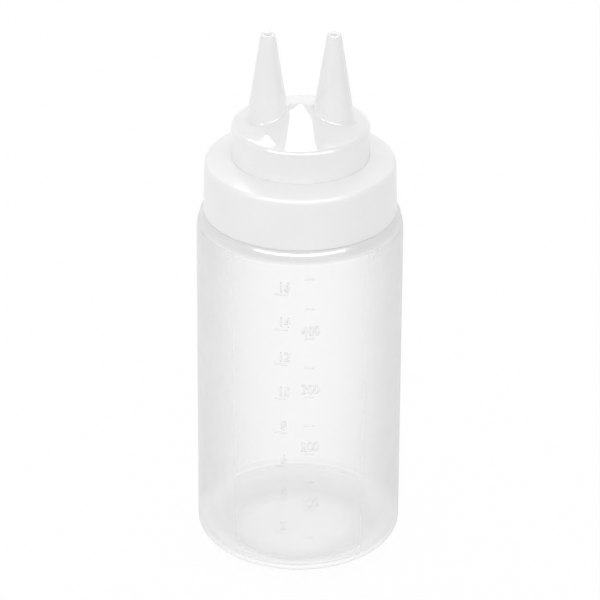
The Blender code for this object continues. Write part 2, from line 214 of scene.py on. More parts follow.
# Finishes: two tones, least and most roughness, fixed values, grain and wave scales and share, and relief
BOTTLE_FINISH = {
    "tones": ((0.80, 0.80, 0.80), (0.83, 0.83, 0.83)),
    "roughness": (0.28, 0.34),
    "values": {"Specular IOR Level": 0.0, "Coat Weight": 1.0, "Coat Roughness": 0.14},
    "grain": (1500.0, 45.0, 0.6),
    "bump": 0.02,
}
COLLAR_FINISH = {
    "tones": ((0.84, 0.84, 0.84), (0.86, 0.86, 0.86)),
    "roughness": (0.42, 0.48),
    "values": {"Subsurface Weight": 1.0, "Coat Weight": 0.2, "Coat Roughness": 0.06},
    "grain": (1800.0, 90.0, 0.2),
    "bump": 0.03,
}
HEAD_FINISH = {
    "tones": ((0.82, 0.82, 0.82), (0.84, 0.84, 0.84)),
    "roughness": (0.28, 0.34),
    "values": {
        "Specular IOR Level": 0.15,
        "Subsurface Weight": 1.0,
        "Coat Weight": 1.0,
        "Coat Roughness": 0.05,
    },
    "grain": (1200.0, 60.0, 0.8),
    "bump": 0.02,
}
GASKET_FINISH = {
    "tones": ((0.80, 0.80, 0.79), (0.86, 0.86, 0.85)),
    "roughness": (0.55, 0.65),
    "values": {"Subsurface Weight": 0.5},
    "grain": (3000.0, 200.0, 0.1),
    "bump": 0.2,
}
BUMP_DISTANCE = 0.0003
SUBSURFACE_SCALE = 0.0004
GLOSS_FADE = (0.3, 0.8)
LEVEL_FACES = (0.6, 0.9)
SPECKLE_SHARE = 0.35
MOTTLE_SPREAD = (0.35, 0.65)

# Camera
CAMERA_PLACE = (0.0, -1.1386, 0.7016)
CAMERA_AIM = (0.00016, 0.0, 0.0991)
CAMERA_LENS = 208.4
CAMERA_ROLL = 0.341

# Studio: how bright the surroundings are all round and overhead, the floor, and the grey cards on each side
WORLD_LEVEL = 1.18
WORLD_TOP_LEVEL = 0.92
WORLD_HEIGHTS = (0.3, 0.95)
FLOOR_HALF = 3.0
FLOOR_DROP = 0.00005
FLOOR_TONE = 0.95
FLOOR_WHITE_SHARE = 0.94
CARD_DISTANCE = 0.60
RIGHT_CARD_TONE = 0.7
LEFT_CARD_TONE = 0.9
# Softboxes: what they face, and each one's place, width and height, and power
SOFTBOX_AIM = (0.0, 0.0, 0.1)
SOFTBOXES = {
    "softbox_back": ((-0.04, 0.62, 1.05), (0.50, 0.50), 5.0),
    "softbox_left": ((-0.55, -0.73, 0.70), (0.75, 0.42), 12.0),
    "softbox_right": ((0.55, -0.73, 0.70), (0.75, 0.42), 12.0),
    "softbox_front": ((0.0, -1.35, 0.90), (0.70, 0.55), 12.0),
}


def add_piece(name, verts, faces, body):
    """Adds a smooth-shaded mesh that moves with a body."""
    mesh = bpy.data.meshes.new(name)
    mesh.from_pydata(verts, [], faces)
    mesh.validate()
    mesh.polygons.foreach_set("use_smooth", [True] * len(mesh.polygons))
    mesh.set_sharp_from_angle(angle=math.radians(SHARP_ANGLE))
    obj = bpy.data.objects.new(name, mesh)
    bpy.context.scene.collection.objects.link(obj)
    even = obj.modifiers.new("even_shading", "WEIGHTED_NORMAL")
    even.keep_sharp = True
    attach(obj, body)
    return obj


def arc(centre_r, centre_z, size_r, size_z, start, stop, steps):
    """Points of an ellipse's arc in a turned profile, with its angles in degrees from +r towards +z."""
    angles = [math.radians(start + (stop - start) * k / steps) for k in range(steps + 1)]
    return [(centre_r + size_r * math.cos(a), centre_z + size_z * math.sin(a)) for a in angles]


def straight(start, stop, step):
    """Evenly spaced points from one profile point to another, without the last."""
    length = math.dist(start, stop)
    count = max(1, math.ceil(length / step))
    return [tuple(a + (b - a) * k / count for a, b in zip(start, stop)) for k in range(count)]


def turned(profile, swell=None, closed=False):
    """Vertices and faces of a turned shell, whose profile runs down its outer side."""
    verts, faces, rings = [], [], []
    for r, z in profile:
        if r == 0.0:
            rings.append([len(verts)])
            verts.append((0.0, 0.0, z))
            continue
        rings.append(range(len(verts), len(verts) + SHELL_SIDES))
        for k in range(SHELL_SIDES):
            angle = math.tau * k / SHELL_SIDES
            radius = r + (swell(angle, r, z) if swell else 0.0)
            verts.append((radius * math.cos(angle), radius * math.sin(angle), z))
    pairs = list(zip(rings, rings[1:]))
    if closed:
        pairs.append((rings[-1], rings[0]))
    for upper, lower in pairs:
        for k in range(SHELL_SIDES):
            n = (k + 1) % SHELL_SIDES
            if len(upper) == 1:
                faces.append((upper[0], lower[k], lower[n]))
            elif len(lower) == 1:
                faces.append((upper[k], lower[0], upper[n]))
            else:
                faces.append((upper[k], lower[k], lower[n], upper[n]))
    return verts, faces


def thread_height(angle, z, start_z, lead_turns, widths):
    """How far a screw thread's ridge stands off its wall at one place."""
    root, crest = widths
    height = 0.0
    for whole in range(-1, 3):
        turns = angle / math.tau + whole
        run = turns + lead_turns
        rise = min(1.0, run / RUN_OUT_TURNS, (THREAD_TURNS - run) / RUN_OUT_TURNS)
        if rise <= 0.0:
            continue
        off = abs(z - start_z - THREAD_PITCH * turns)
        flank = (off - crest / 2) / ((root - crest) / 2) * (THREAD_DEPTH + THREAD_SINK)
        height = max(height, min(THREAD_DEPTH - flank, THREAD_DEPTH * rise))
    return height


def base_corner(inset, steps):
    """The bottle's base from its wall down to its foot, as two arcs that meet smoothly."""
    corner = CORNER_RADIUS - inset
    base = BASE_CURVE_RADIUS - inset
    wall_arc = arc(CORNER_R, CORNER_Z, corner, corner, 0, CORNER_ANGLE, steps)
    return wall_arc + arc(BASE_CURVE_R, BASE_CURVE_RADIUS, base, base, CORNER_ANGLE, -90, steps)[1:]


def push_up(lift, steps):
    """The floor's gentle push-up, from its ring in to the axis."""
    points = []
    for k in range(1, steps):
        share = 1 - k / steps
        points.append((FOOT_RING_R * share, lift + PUSH_UP_HEIGHT * (1 - share**2) ** 1.5))
    return points + [(0.0, lift + PUSH_UP_HEIGHT)]


def shoulder_roll(inset, crease):
    """The rolled shoulder from its land down to the wall, with a faint crease part of the way down."""
    points = arc(ROLL_R, SHOULDER_START_Z, SHOULDER_WIDTH - inset, SHOULDER_HEIGHT - inset, 90, 0, ROLL_STEPS)
    creased = []
    for r, z in points:
        above = min(1.0, max(0.0, (z - SHOULDER_CREASE_Z) / SHOULDER_CREASE_BLEND + 0.5))
        fade = math.sin(math.pi * min(1.0, (LAND_Z - z) / SHOULDER_CREASE_REACH) / 2)
        creased.append((r - crease * above * fade, z))
    return creased


def bottle_profile():
    """The bottle's section from the middle of its floor, up the inside, over the lip and down the outside."""
    inner_top = (NECK_INNER_RADIUS, LIP_Z - LIP_ROUND)
    outer_top = (NECK_RADIUS, LIP_Z - LIP_ROUND)
    foot = NECK_FOOT_ROUND
    inside = [
        *reversed(push_up(BODY_WALL, 10)),
        *reversed(base_corner(BODY_WALL, 12)),
        *reversed(shoulder_roll(BODY_WALL, 0.0)),
        (NECK_INNER_RADIUS, LAND_Z - BODY_WALL),
        *arc(NECK_INNER_RADIUS + LIP_ROUND, inner_top[1], LIP_ROUND, LIP_ROUND, 180, 90, ROUND_STEPS),
    ]
    outside = [
        *arc(NECK_RADIUS - LIP_ROUND, outer_top[1], LIP_ROUND, LIP_ROUND, 90, 0, ROUND_STEPS)[:-1],
        *straight(outer_top, (NECK_RADIUS, LAND_Z + foot), THREAD_RING_STEP),
        *arc(NECK_RADIUS + foot, LAND_Z + foot, foot, foot, 180, 270, ROUND_STEPS),
        *shoulder_roll(0.0, SHOULDER_CREASE_STEP),
        *base_corner(0.0, 16),
        (FOOT_RING_R, 0.0),
        *push_up(0.0, 12),
    ]
    return inside + outside


def make_bottle():
    """The bottle's shell with its thread, in place of the solid one."""
    start_z = LIP_Z - THREAD_BELOW_LIP - THREAD_PITCH * THREAD_TURNS

    def swell(angle, r, z):
        if r != NECK_RADIUS:
            return 0.0
        return thread_height(angle, z, start_z, 0.0, NECK_RIDGE_WIDTHS)

    verts, faces = turned(bottle_profile(), swell)
    bottle = add_piece("bottle_shell", verts, faces, "bottle_body")
    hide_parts("bottle")
    return bottle


def body_radius_at(height):
    """The bottle's outer radius on its slightly tapered wall."""
    share = (height - CORNER_Z) / (SHOULDER_START_Z - CORNER_Z)
    return BODY_FOOT_RADIUS + (BODY_TOP_RADIUS - BODY_FOOT_RADIUS) * share


def onto_wall(point, height):
    """Bends a flat point (across, up, out) round the bottle's front, at a height on its wall."""
    across, up, out = point
    z = height + up
    radius = body_radius_at(z)
    angle = across / radius
    return ((radius + out) * math.sin(angle), -(radius + out) * math.cos(angle), z)


def bar_points(centre_x, length):
    """A low bar with rounded edges, flat: rings of (across, up, out) from its sunk back to its top."""
    steps = [(0.0, -MARK_SINK)] + [(inset, share * MARK_RELIEF) for inset, share in BAR_EDGE]
    rings = []
    for inset, out in steps:
        half_x = length / 2 - inset
        half_z = BAR_THICKNESS / 2 - inset
        across = [half_x * (2 * k / (BAR_POINTS - 1) - 1) for k in range(BAR_POINTS)]
        lower = [(centre_x + x, -half_z, out) for x in across]
        upper = [(centre_x - x, half_z, out) for x in across]
        rings.append(lower + upper)
    return rings


def add_bar(verts, faces, centre_x, length, height):
    """Adds one bar of the scale to the lists of vertices and faces."""
    rings = []
    for ring in bar_points(centre_x, length):
        rings.append(range(len(verts), len(verts) + len(ring)))
        verts.extend(onto_wall(point, height) for point in ring)
    count = len(rings[0])
    for low, high in zip(rings, rings[1:]):
        for k in range(count):
            n = (k + 1) % count
            faces.append((low[k], low[n], high[n], high[k]))
    top = rings[-1]
    for k in range(BAR_POINTS - 1):
        faces.append((top[k], top[k + 1], top[count - 2 - k], top[count - 1 - k]))


def add_number(verts, faces, text, centre_x, height):
    """Adds one raised number, standing on its bar, to the lists of vertices and faces."""
    curve = bpy.data.curves.new("number", "FONT")
    curve.body = text
    curve.size = NUMBER_SIZE
    curve.space_character = NUMBER_SPACING
    curve.align_x = "CENTER"
    curve.resolution_u = 4
    curve.extrude = MARK_SINK
    curve.bevel_depth = NUMBER_BEVEL
    curve.bevel_resolution = 2
    holder = bpy.data.objects.new("number", curve)
    bpy.context.scene.collection.objects.link(holder)
    graph = bpy.context.evaluated_depsgraph_get()
    mesh = bpy.data.meshes.new_from_object(holder.evaluated_get(graph))
    bpy.data.objects.remove(holder)
    first = len(verts)
    top = max(vert.co.z for vert in mesh.vertices)
    for vert in mesh.vertices:
        across = centre_x + vert.co.x * NUMBER_NARROWING
        flat = (across, vert.co.y + NUMBER_RISE, vert.co.z - top + MARK_RELIEF)
        verts.append(onto_wall(flat, height))
    for face in mesh.polygons:
        if face.normal.z > NUMBER_BACK:
            faces.append(tuple(first + v for v in face.vertices))
    bpy.data.meshes.remove(mesh)


def make_scale(name, step, count, bar, numbers, number_x):
    """One column of the scale: its bars, and the numbers above some of them."""
    verts, faces = [], []
    for k in range(1, count + 1):
        height = SCALE_START_Z + k * step
        add_bar(verts, faces, *bar, height)
        if k in numbers:
            add_number(verts, faces, numbers[k], number_x, height)
    return add_piece(name, verts, faces, "bottle_body")


def collar_profile():
    """The collar's section as a loop: plate, skirt, then the ledge and groove that hold the head's flange."""
    edge_r = COLLAR_TOP_RADIUS - COLLAR_EDGE_WIDTH
    edge_z = LIP_Z + PLATE_TOP - COLLAR_CROWN_DROP - COLLAR_EDGE_HEIGHT
    foot = LIP_Z + COLLAR_BOTTOM
    round_r = COLLAR_FOOT_ROUND
    ledge_foot = LIP_Z + GASKET_BOTTOM
    wall_top = (COLLAR_INNER_RADIUS, ledge_foot - (COLLAR_INNER_RADIUS - LEDGE_RADIUS))
    groove_top = LIP_Z + PLATE_BOTTOM - COLLAR_CROWN_SLOPE * (GROOVE_RADIUS - COLLAR_HOLE_RADIUS)
    plate = LIP_Z + PLATE_TOP
    plate_edge = (edge_r, edge_z + COLLAR_EDGE_HEIGHT)
    bevel = COLLAR_HOLE_BEVEL
    return [
        (COLLAR_HOLE_RADIUS, plate - bevel),
        (COLLAR_HOLE_RADIUS + bevel, plate),
        *straight((COLLAR_HOLE_RADIUS + 4 * bevel, plate), plate_edge, PLATE_RING_STEP),
        *arc(edge_r, edge_z, COLLAR_EDGE_WIDTH, COLLAR_EDGE_HEIGHT, 90, 0, ROLL_STEPS),
        *arc(COLLAR_FOOT_RADIUS - round_r, foot + round_r, round_r, round_r, 0, -90, ROUND_STEPS),
        *arc(COLLAR_INNER_RADIUS + round_r, foot + round_r, round_r, round_r, -90, -180, ROUND_STEPS)[:-1],
        *straight((COLLAR_INNER_RADIUS, foot + round_r), wall_top, THREAD_RING_STEP),
        wall_top,
        (LEDGE_RADIUS, ledge_foot),
        (LEDGE_RADIUS, LIP_Z + LEDGE_TOP),
        (GROOVE_RADIUS, LIP_Z + LEDGE_TOP),
        (GROOVE_RADIUS, groove_top),
        (COLLAR_HOLE_RADIUS, LIP_Z + PLATE_BOTTOM),
    ]


def make_collar():
    """The collar's shell with its thread, in place of the solid one."""
    start_z = LIP_Z - THREAD_BELOW_LIP - THREAD_PITCH * THREAD_TURNS - COLLAR_RIDGE_DROP

    def swell(angle, r, z):
        if r != COLLAR_INNER_RADIUS:
            return 0.0
        return -thread_height(angle, z, start_z, COLLAR_RIDGE_LEAD_TURNS, COLLAR_RIDGE_WIDTHS)

    verts, faces = turned(collar_profile(), swell, closed=True)
    collar = add_piece("collar_shell", verts, faces, "cap_collar")
    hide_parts("screw_collar")
    return collar


def make_gasket():
    """The soft washer, with rounded edges."""
    round_r = GASKET_ROUND
    low, high = LIP_Z + GASKET_BOTTOM + round_r, LIP_Z + GASKET_TOP - round_r
    inner, outer = GASKET_INNER_RADIUS + round_r, GASKET_OUTER_RADIUS - round_r
    profile = [
        *arc(outer, high, round_r, round_r, 90, 0, ROUND_STEPS),
        *arc(outer, low, round_r, round_r, 0, -90, ROUND_STEPS),
        *arc(inner, low, round_r, round_r, -90, -180, ROUND_STEPS),
        *arc(inner, high, round_r, round_r, 180, 90, ROUND_STEPS),
    ]
    verts, faces = turned(profile, closed=True)
    gasket = add_piece("gasket_washer", verts, faces, "cap_head")
    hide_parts("neck_gasket")
    return gasket


def dome_height(r):
    """The dome's height over its foot, as a low cone with a rounded crown."""
    return DOME_RISE + DOME_CROWN - math.hypot(DOME_CROWN, DOME_SLOPE * r)


def blend_up(low, high):
    """The higher of two heights, with a smooth fillet where they meet."""
    share = max(0.0, NOZZLE_FILLET - abs(low - high)) / NOZZLE_FILLET
    return max(low, high) + share * share * NOZZLE_FILLET / 4


def head_height(x, y, tip_radius, slope, drop):
    """Height of the dome with its nozzles over a point: outside, or lower by a drop on the inside."""
    dome = LIP_Z + HEAD_EDGE - drop + dome_height(math.hypot(x, y))
    from_nozzle = math.hypot(abs(x) - NOZZLE_OFFSET, y)
    cone = LIP_Z + NOZZLE_TIP - NOZZLE_RIM_ROUND - (from_nozzle - tip_radius) / slope
    past_foot = (dome - cone) * slope
    off_groove = (past_foot - FOOT_GROOVE_OUT) / FOOT_GROOVE_WIDTH
    groove = 0.0 if drop else FOOT_GROOVE_DEPTH * math.exp(-(off_groove**2))
    return blend_up(dome, cone) - groove


def foot_distance(centre_x, angle, tip_radius, slope, drop):
    """How far from a nozzle's axis its cone meets the dome, in one direction."""
    near, far = tip_radius, DOME_KEEP_OFF
    for _ in range(FOOT_SEARCH_STEPS):
        middle = (near + far) / 2
        r = math.hypot(centre_x + middle * math.cos(angle), middle * math.sin(angle))
        cone = NOZZLE_TIP - NOZZLE_RIM_ROUND - (middle - tip_radius) / slope
        if cone > HEAD_EDGE - drop + dome_height(r):
            near = middle
        else:
            far = middle
    return near


def head_surface(edge_radius, tip_radius, slope, drop):
    """One side of the dome and nozzles: vertices, and faces that look up, open at the tips."""
    points = []
    for k in range(SHELL_SIDES):
        angle = math.tau * k / SHELL_SIDES
        points.append((edge_radius * math.cos(angle), edge_radius * math.sin(angle)))
    ring_count = round(edge_radius / DOME_RING_STEP)
    for ring in range(ring_count):
        radius = edge_radius * ring / ring_count
        count = max(1, round(SHELL_SIDES * (ring / ring_count) ** 0.5 / 8) * 8)
        for k in range(count):
            angle = math.tau * (k + 0.5 * (ring % 2)) / count
            x, y = radius * math.cos(angle), radius * math.sin(angle)
            if math.hypot(abs(x) - NOZZLE_OFFSET, y) > DOME_KEEP_OFF:
                points.append((x, y))
    for centre_x in (-NOZZLE_OFFSET, NOZZLE_OFFSET):
        for k in range(NOZZLE_SIDES):
            angle = math.tau * k / NOZZLE_SIDES
            foot = foot_distance(centre_x, angle, tip_radius, slope, drop)
            offsets = [foot + offset * 0.001 for offset in FILLET_OFFSETS]
            cone_length = offsets[0] - tip_radius
            cone = [tip_radius + cone_length * n / NOZZLE_CONE_RINGS for n in range(NOZZLE_CONE_RINGS)]
            for distance in cone + offsets:
                points.append((centre_x + distance * math.cos(angle), distance * math.sin(angle)))
    flat, _, triangles, _, _, _ = delaunay_2d_cdt([Vector(p) for p in points], [], [], 0, 1e-9)
    verts = [(p.x, p.y, head_height(p.x, p.y, tip_radius, slope, drop)) for p in flat]
    faces = []
    for triangle in triangles:
        x = sum(flat[v].x for v in triangle) / 3
        y = sum(flat[v].y for v in triangle) / 3
        if math.hypot(abs(x) - NOZZLE_OFFSET, y) > tip_radius:
            faces.append(tuple(triangle))
    return verts, faces


def tip_profile():
    """A nozzle's rim from its outer cone over the top into its bore, as (radius, height)."""
    tip = LIP_Z + NOZZLE_TIP
    outer = NOZZLE_TIP_RADIUS - NOZZLE_RIM_ROUND
    bore = NOZZLE_BORE_RADIUS + NOZZLE_BORE_ROUND
    return [
        *arc(bore, tip - NOZZLE_BORE_ROUND, NOZZLE_BORE_ROUND, NOZZLE_BORE_ROUND, 90, 180, 4),
        (NOZZLE_BORE_RADIUS, tip - NOZZLE_RIM_ROUND),
    ], arc(outer, tip - NOZZLE_RIM_ROUND, NOZZLE_RIM_ROUND, NOZZLE_RIM_ROUND, 0, 90, ROUND_STEPS)


def head_side_profile():
    """The head's section: down its outside, under the flange and the plug ring, and up its inside."""
    edge_r = HEAD_RADIUS - HEAD_EDGE_ROUND
    edge_z = LIP_Z + HEAD_EDGE + dome_height(edge_r)
    round_r = HEAD_EDGE_ROUND
    inner_r = HEAD_RADIUS - HEAD_WALL
    inner_z = LIP_Z + HEAD_EDGE - HEAD_WALL + dome_height(inner_r - round_r)
    small = HEAD_BEVEL
    return [
        *arc(edge_r, edge_z - round_r, round_r, round_r, 90, 0, 16),
        (HEAD_RADIUS, LIP_Z + PLATE_TOP),
        (HEAD_RADIUS, LIP_Z + FLANGE_ROOT_TOP),
        (FLANGE_RADIUS - small, LIP_Z + FLANGE_EDGE_TOP + small * 0.2),
        (FLANGE_RADIUS, LIP_Z + FLANGE_EDGE_TOP - small),
        (FLANGE_RADIUS, LIP_Z + FLANGE_BOTTOM + small),
        (FLANGE_RADIUS - small, LIP_Z + FLANGE_BOTTOM),
        (PLUG_RADIUS, LIP_Z + FLANGE_BOTTOM),
        (PLUG_RADIUS, LIP_Z + PLUG_BOTTOM + PLUG_LEAD),
        (PLUG_RADIUS - PLUG_LEAD, LIP_Z + PLUG_BOTTOM),
        (PLUG_BORE_RADIUS + small, LIP_Z + PLUG_BOTTOM),
        (PLUG_BORE_RADIUS, LIP_Z + PLUG_BOTTOM + small),
        (PLUG_BORE_RADIUS, LIP_Z + FLANGE_BOTTOM),
        (inner_r, LIP_Z + FLANGE_BOTTOM),
        *arc(inner_r - round_r, inner_z - round_r, round_r, round_r, 0, 90, 8),
    ]


def make_head():
    """The head's shell, of dome, nozzles and sides merged at their rings, in place of the solid one."""
    edge_r = HEAD_RADIUS - HEAD_EDGE_ROUND
    inner_edge_r = HEAD_RADIUS - HEAD_WALL - HEAD_EDGE_ROUND
    outer_verts, outer_faces = head_surface(edge_r, NOZZLE_TIP_RADIUS, NOZZLE_SLOPE, 0.0)
    inner_verts, inner_faces = head_surface(inner_edge_r, NOZZLE_BORE_RADIUS, NOZZLE_BORE_SLOPE, HEAD_WALL)
    side_verts, side_faces = turned(head_side_profile())
    shape = bmesh.new()
    for verts, faces, turn in (
        (outer_verts, outer_faces, False),
        (inner_verts, inner_faces, True),
        (side_verts, side_faces, False),
    ):
        made = [shape.verts.new(vert) for vert in verts]
        for face in faces:
            corners = [made[v] for v in face]
            if turn:
                corners.reverse()
            shape.faces.new(corners)
    into_bore, over_rim = tip_profile()
    rim = over_rim + into_bore
    for centre_x in (-NOZZLE_OFFSET, NOZZLE_OFFSET):
        rings = []
        for r, z in rim:
            ring = []
            for k in range(NOZZLE_SIDES):
                angle = math.tau * k / NOZZLE_SIDES
                ring.append(shape.verts.new((centre_x + r * math.cos(angle), r * math.sin(angle), z)))
            rings.append(ring)
        for low, high in zip(rings, rings[1:]):
            for k in range(NOZZLE_SIDES):
                n = (k + 1) % NOZZLE_SIDES
                shape.faces.new((low[k], low[n], high[n], high[k]))
    bmesh.ops.remove_doubles(shape, verts=shape.verts, dist=MERGE_DISTANCE)
    bmesh.ops.recalc_face_normals(shape, faces=shape.faces)
    shape.verts.index_update()
    verts = [tuple(vert.co) for vert in shape.verts]
    faces = [tuple(vert.index for vert in face.verts) for face in shape.faces]
    shape.free()
    head = add_piece("head_shell", verts, faces, "cap_head")
    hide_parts("nozzle_head")
    return head


def new_group(name, inputs, outputs):
    """A shader node group with named number sockets, and its input and output nodes."""
    group = bpy.data.node_groups.new(name, "ShaderNodeTree")
    for socket_name, value in inputs.items():
        socket = group.interface.new_socket(socket_name, in_out="INPUT", socket_type="NodeSocketFloat")
        socket.default_value = value
    for socket_name in outputs:
        group.interface.new_socket(socket_name, in_out="OUTPUT", socket_type="NodeSocketFloat")
    return group, group.nodes.new("NodeGroupInput"), group.nodes.new("NodeGroupOutput")


def maths(tree, operation, *values):
    """The result of a maths node on sockets and fixed numbers."""
    node = tree.nodes.new("ShaderNodeMath")
    node.operation = operation
    for place, value in zip(node.inputs, values):
        if isinstance(value, float):
            place.default_value = value
        else:
            tree.links.new(value, place)
    return node.outputs[0]


def ranged(tree, value, source, target=(0.0, 1.0), smooth=False):
    """A socket's value taken from a source range to a target one, and kept inside it."""
    node = tree.nodes.new("ShaderNodeMapRange")
    if smooth:
        node.interpolation_type = "SMOOTHSTEP"
    for place, number in zip(("From Min", "From Max", "To Min", "To Max"), (*source, *target)):
        node.inputs[place].default_value = number
    tree.links.new(value, node.inputs["Value"])
    return node.outputs["Result"]


def mixed(tree, factor, first, second):
    """The mix of two sockets, fixed numbers or fixed colours."""
    node = tree.nodes.new("ShaderNodeMix")
    if isinstance(first, tuple):
        node.data_type = "RGBA"
    for place, value in (("Factor", factor), ("A", first), ("B", second)):
        if isinstance(value, (float, tuple)):
            node.inputs[place].default_value = value
        else:
            tree.links.new(value, node.inputs[place])
    return node.outputs["Result"]


def upright(tree, vector):
    """The part of a vector along the upright axis."""
    split = tree.nodes.new("ShaderNodeSeparateXYZ")
    tree.links.new(vector, split.inputs["Vector"])
    return split.outputs["Z"]


def off_axis(tree, position):
    """How far a position is from the upright axis."""
    flat = tree.nodes.new("ShaderNodeVectorMath")
    flat.operation = "MULTIPLY"
    flat.inputs[1].default_value = (1.0, 1.0, 0.0)
    length = tree.nodes.new("ShaderNodeVectorMath")
    length.operation = "LENGTH"
    tree.links.new(position, flat.inputs[0])
    tree.links.new(flat.outputs["Vector"], length.inputs[0])
    return length.outputs["Value"]


def noise(tree, position, scale, detail):
    """A noise pattern over the object, with its scale from a socket."""
    node = tree.nodes.new("ShaderNodeTexNoise")
    node.inputs["Detail"].default_value = detail
    tree.links.new(position, node.inputs["Vector"])
    tree.links.new(scale, node.inputs["Scale"])
    return node.outputs["Fac"]


def facing(tree):
    """How far a surface turns away from the line of sight: 0 head-on, 1 edge-on."""
    weight = tree.nodes.new("ShaderNodeLayerWeight")
    weight.inputs["Blend"].default_value = 0.5
    return weight.outputs["Facing"]


def make_grain_group():
    """Fine satin grain of a blasted mould over the slow waves of a blown or moulded wall, as a height."""
    inputs = {"Grain Scale": 2600.0, "Wave Scale": 60.0, "Wave Share": 0.4}
    group, given, result = new_group("moulded_grain", inputs, ["Height"])
    position = group.nodes.new("ShaderNodeTexCoord").outputs["Object"]
    grain = noise(group, position, given.outputs["Grain Scale"], 3.0)
    wave = noise(group, position, given.outputs["Wave Scale"], 1.0)
    height = mixed(group, given.outputs["Wave Share"], grain, wave)
    group.links.new(height, result.inputs["Height"])
    return group


def make_mottle_group():
    """Slow cloudiness of a milky plastic, from 0 to 1."""
    group, given, result = new_group("milky_mottle", {"Scale": 70.0, "Speckle Scale": 900.0}, ["Mask"])
    position = group.nodes.new("ShaderNodeTexCoord").outputs["Object"]
    cloud = noise(group, position, given.outputs["Scale"], 4.0)
    speckle = noise(group, position, given.outputs["Speckle Scale"], 2.0)
    cloudiness = mixed(group, SPECKLE_SHARE, cloud, speckle)
    group.links.new(ranged(group, cloudiness, MOTTLE_SPREAD), result.inputs["Mask"])
    return group


def underside_height(group, radius):
    """Height of the bottle's underside: its push-up inside the foot ring, its curve outside it."""
    past_ring = maths(group, "MAXIMUM", maths(group, "SUBTRACT", radius, BASE_CURVE_R), 0.0)
    squared = maths(group, "MULTIPLY", past_ring, past_ring)
    push = ranged(group, radius, (0.0, FOOT_RING_R), (PUSH_UP_HEIGHT, 0.0), smooth=True)
    return maths(group, "MULTIPLY_ADD", squared, 0.5 / BASE_CURVE_RADIUS, push)


def make_wall_group():
    """Masks of the blown wall's shoulder, floor, rim and corner, its milk in the base, and its haze."""
    inputs = {"Shoulder Start": SHOULDER_CREASE_Z, "Floor Haze": FLOOR_HAZE, "Inner Haze": INNER_HAZE}
    outputs = ["Shoulder", "Base Milk", "Haze", "Floor", "Rim", "Corner"]
    group, given, result = new_group("blown_wall", inputs, outputs)
    place = group.nodes.new("ShaderNodeTexCoord")
    height = upright(group, place.outputs["Object"])
    radius = off_axis(group, place.outputs["Object"])
    upward = upright(group, place.outputs["Normal"])

    above = maths(group, "SUBTRACT", height, given.outputs["Shoulder Start"])
    low = ranged(group, height, BASE_TOP)
    floor = maths(group, "MULTIPLY", ranged(group, upward, UP_FACES), low)
    corner = maths(group, "MULTIPLY", ranged(group, upward, DOWN_FACES), low)
    rim = ranged(group, radius, (FOOT_RING_R + RIM_STARTS[0], FOOT_RING_R + RIM_STARTS[1]))

    off_ring = maths(group, "ABSOLUTE", maths(group, "SUBTRACT", radius, BASE_MILK_R))
    ring = ranged(group, off_ring, (0.0, BASE_MILK_WIDTH), (BASE_MILK[1], BASE_MILK[0]), smooth=True)
    sloped_ring = maths(group, "MULTIPLY", ring, ranged(group, upward, BASE_MILK_SLOPES))
    over_underside = maths(group, "SUBTRACT", height, underside_height(group, radius))
    inside = ranged(group, over_underside, OVER_UNDERSIDE)
    milk = maths(group, "MULTIPLY", maths(group, "MULTIPLY", floor, sloped_ring), inside)

    middle = (WALL_MIDDLE_R + WALL_MIDDLE_BLEND, WALL_MIDDLE_R - WALL_MIDDLE_BLEND)
    over_corner = ranged(group, height, (CORNER_Z, CORNER_Z + INNER_WALL_BLEND))
    inner_wall = maths(group, "MULTIPLY", ranged(group, radius, middle), over_corner)
    floor_haze = mixed(group, floor, 1.0, given.outputs["Floor Haze"])
    haze = mixed(group, inner_wall, floor_haze, given.outputs["Inner Haze"])

    shoulder = ranged(group, above, (0.0, SHOULDER_BLEND))
    for socket_name, value in zip(outputs, (shoulder, milk, haze, floor, rim, corner)):
        group.links.new(value, result.inputs[socket_name])
    return group


def coat_weight(tree, coat):
    """A clear coat that is full on level faces, and fades elsewhere where it is seen at a slant."""
    gloss = ranged(tree, facing(tree), GLOSS_FADE, (coat, 0.0))
    place = tree.nodes.new("ShaderNodeTexCoord")
    level = ranged(tree, upright(tree, place.outputs["Normal"]), LEVEL_FACES)
    return mixed(tree, level, gloss, coat)


def milky_plastic(name, grain_group, mottle_group, finish):
    """A milky moulded plastic: cloudy tone, satin grain and, where it is glossy, its clear coat."""
    material = bpy.data.materials.new(name)
    material.use_nodes = True
    tree = material.node_tree
    links = tree.links
    shader = tree.nodes["Principled BSDF"]
    shader.inputs["IOR"].default_value = 1.5
    shader.inputs["Subsurface Radius"].default_value = (1.0, 1.0, 1.0)
    shader.inputs["Subsurface Scale"].default_value = SUBSURFACE_SCALE
    for socket_name, value in finish["values"].items():
        shader.inputs[socket_name].default_value = value

    mottle = tree.nodes.new("ShaderNodeGroup")
    mottle.node_tree = mottle_group
    mask = mottle.outputs["Mask"]
    dim, light = ((*tone, 1.0) for tone in finish["tones"])
    links.new(mixed(tree, mask, dim, light), shader.inputs["Base Color"])
    links.new(ranged(tree, mask, (0.0, 1.0), finish["roughness"]), shader.inputs["Roughness"])

    surface = tree.nodes.new("ShaderNodeGroup")
    surface.node_tree = grain_group
    for socket_name, value in zip(("Grain Scale", "Wave Scale", "Wave Share"), finish["grain"]):
        surface.inputs[socket_name].default_value = value
    relief = tree.nodes.new("ShaderNodeBump")
    relief.inputs["Strength"].default_value = finish["bump"]
    relief.inputs["Distance"].default_value = BUMP_DISTANCE
    links.new(surface.outputs["Height"], relief.inputs["Height"])
    links.new(relief.outputs["Normal"], shader.inputs["Normal"])

    coat = finish["values"].get("Coat Weight", 0.0)
    if coat > 0.0:
        links.new(coat_weight(tree, coat), shader.inputs["Coat Weight"])
    return material


